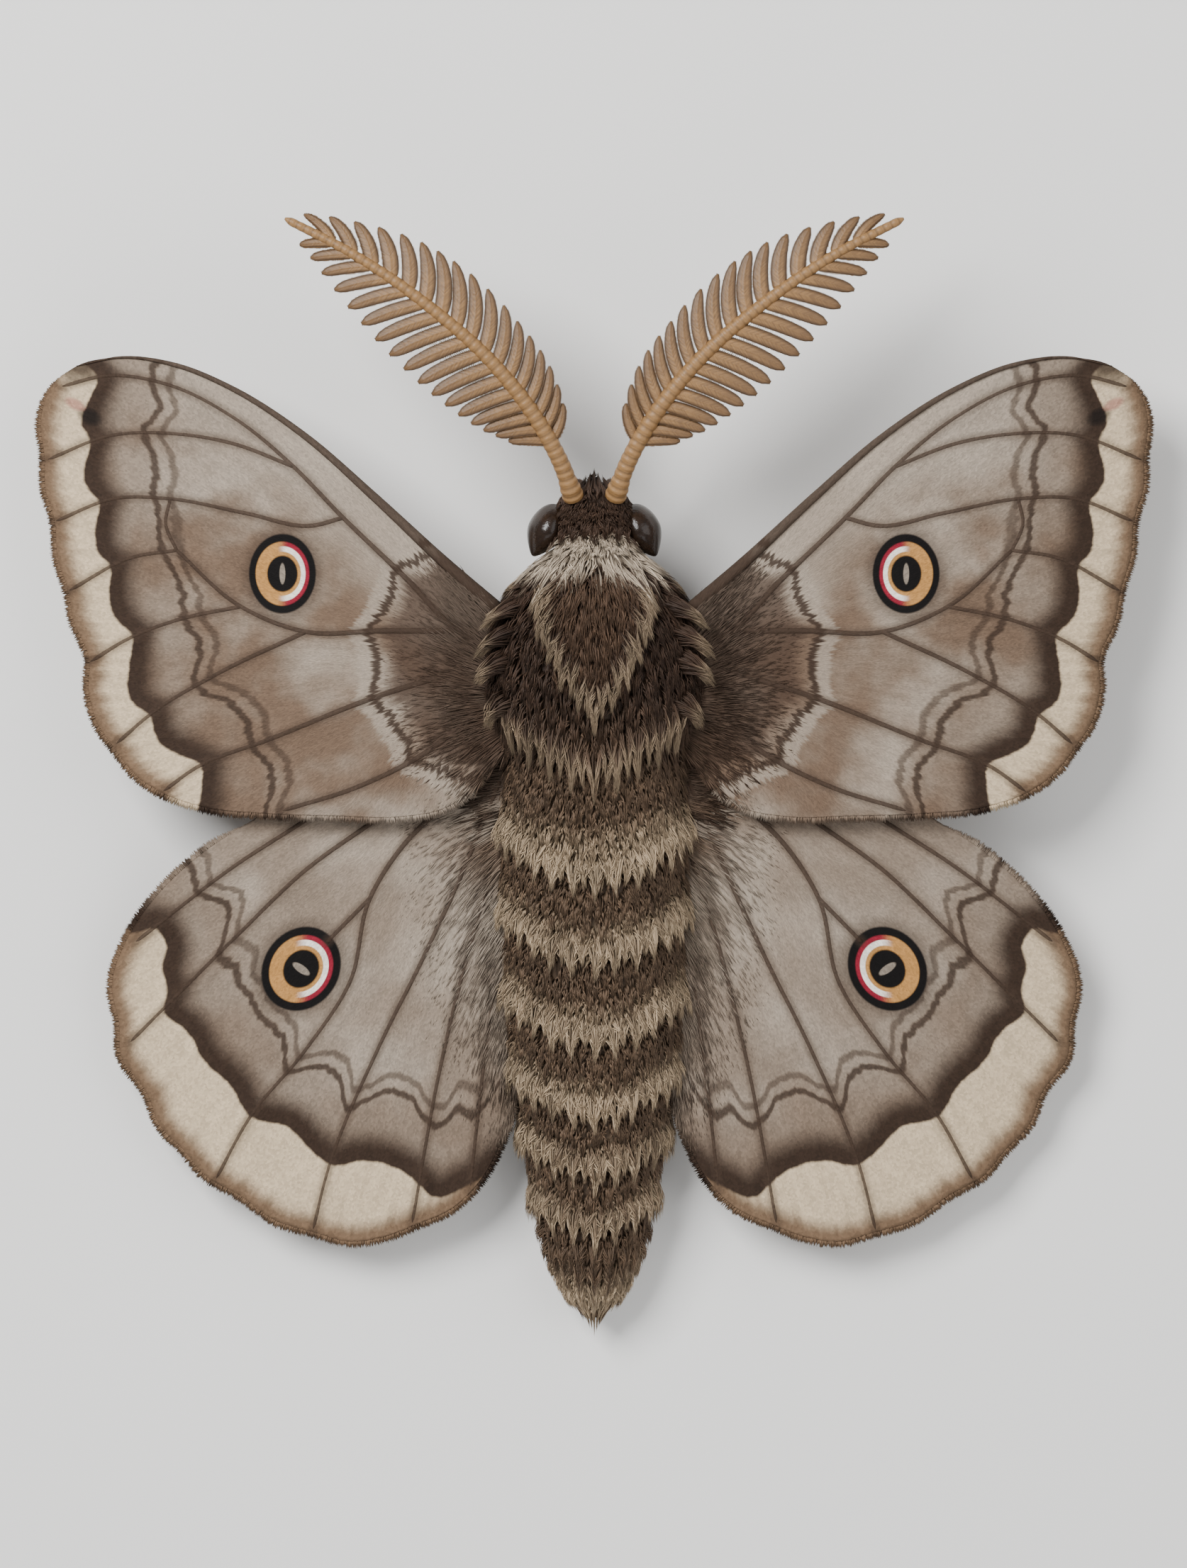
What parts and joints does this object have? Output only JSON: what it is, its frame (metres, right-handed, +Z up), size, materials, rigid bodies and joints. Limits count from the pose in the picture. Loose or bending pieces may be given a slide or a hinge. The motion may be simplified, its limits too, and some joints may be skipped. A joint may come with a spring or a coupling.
{
  "type": "great peacock moth",
  "caption": "Life-size still model of a giant silk moth, wings spread flat, with feathered antennae, eyespots and a long furry banded abdomen.",
  "frame": {"origin": "on the floor under the middle of the whole moth's box", "axes": "+Y towards the head, +X towards the moth's right wings, +Z up; the moth stands on Z = 0"},
  "size_m": [0.1402, 0.1395, 0.0278],
  "materials": {
    "thorax_fur": "dense dark brown fur",
    "abdomen_fur": "brown fur with pale fringes",
    "wing_scales": "matt grey-brown scales",
    "antenna_horn": "satin ochre horn",
    "eye": "glossy near-black",
    "leg_fur": "short brown fur"
  },
  "bodies": {
    "root": {"head": "thorax_fur", "thorax": "thorax_fur", "palp_left": "thorax_fur", "palp_right": "thorax_fur", "eye_left": "eye", "eye_right": "eye", "antenna_left": "antenna_horn", "antenna_right": "antenna_horn", "abdomen_1": "abdomen_fur", "abdomen_2": "abdomen_fur", "abdomen_3": "abdomen_fur", "abdomen_4": "abdomen_fur", "abdomen_5": "abdomen_fur", "abdomen_6": "abdomen_fur", "abdomen_7": "abdomen_fur", "forewing_left": "wing_scales", "forewing_right": "wing_scales", "hindwing_left": "wing_scales", "hindwing_right": "wing_scales", "leg_front_left_thigh": "leg_fur", "leg_front_left_shin": "leg_fur", "leg_front_left_foot": "leg_fur", "leg_middle_left_thigh": "leg_fur", "leg_middle_left_shin": "leg_fur", "leg_middle_left_foot": "leg_fur", "leg_hind_left_thigh": "leg_fur", "leg_hind_left_shin": "leg_fur", "leg_hind_left_foot": "leg_fur", "leg_front_right_thigh": "leg_fur", "leg_front_right_shin": "leg_fur", "leg_front_right_foot": "leg_fur", "leg_middle_right_thigh": "leg_fur", "leg_middle_right_shin": "leg_fur", "leg_middle_right_foot": "leg_fur", "leg_hind_right_thigh": "leg_fur", "leg_hind_right_shin": "leg_fur", "leg_hind_right_foot": "leg_fur"}
  },
  "joints": []
}
